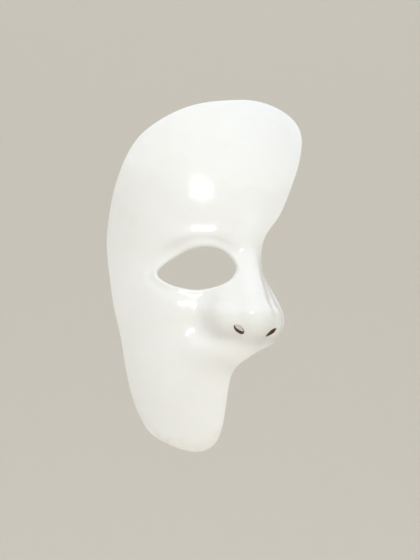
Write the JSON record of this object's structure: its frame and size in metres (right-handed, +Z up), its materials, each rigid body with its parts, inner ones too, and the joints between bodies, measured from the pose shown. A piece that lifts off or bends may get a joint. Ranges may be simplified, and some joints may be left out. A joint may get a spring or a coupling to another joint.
{
  "type": "half-face masquerade mask",
  "caption": "White gloss papier-mache half-face mask: forehead, eye opening, full nose and cheek to the jaw, with comfort pads and swinging tie rings on the inside.",
  "frame": {"origin": "crown of the nose cushion, where the mask rests on the bridge of the wearer's nose; x = 0 is the wearer's midline", "axes": "+Z up the face, +Y from the mask towards the wearer, +X to the wearer's left, the side the mask leaves mostly bare"},
  "size_m": [0.1216, 0.0843, 0.2285],
  "materials": {
    "lacquer": "high-gloss white lacquer over gesso",
    "papier_mache": "matte brown layered papier-mache",
    "binding_paper": "matte kraft paper strip",
    "pad_felt": "black felt over soft foam",
    "patch_leather": "dark brown leather",
    "tab_leather": "brown leather strip",
    "ring_brass": "polished brass wire"
  },
  "bodies": {
    "mask": {"front_coat": "lacquer", "paper_shell": "papier_mache", "rim_binding": "binding_paper", "eye_binding": "binding_paper", "forehead_pad": "pad_felt", "cheek_pad": "pad_felt", "nose_pad": "pad_felt", "temple_patch": "patch_leather", "forehead_patch": "patch_leather", "temple_tab": "tab_leather", "forehead_tab": "tab_leather"},
    "temple_ring": {"temple_ring": "ring_brass"},
    "forehead_ring": {"forehead_ring": "ring_brass"}
  },
  "joints": [
    {"name": "temple_ring_swing", "type": "hinge", "parent": "mask", "child": "temple_ring", "pos_m": [-0.06012, 0.05935, 0.02988], "axis": [0.1155, 0.0691, -0.9909], "range_deg": [0, 110]},
    {"name": "forehead_ring_swing", "type": "hinge", "parent": "mask", "child": "forehead_ring", "pos_m": [0.02745, 0.03121, 0.09773], "axis": [0.4282, 0.4512, 0.783], "range_deg": [0, 110]}
  ]
}
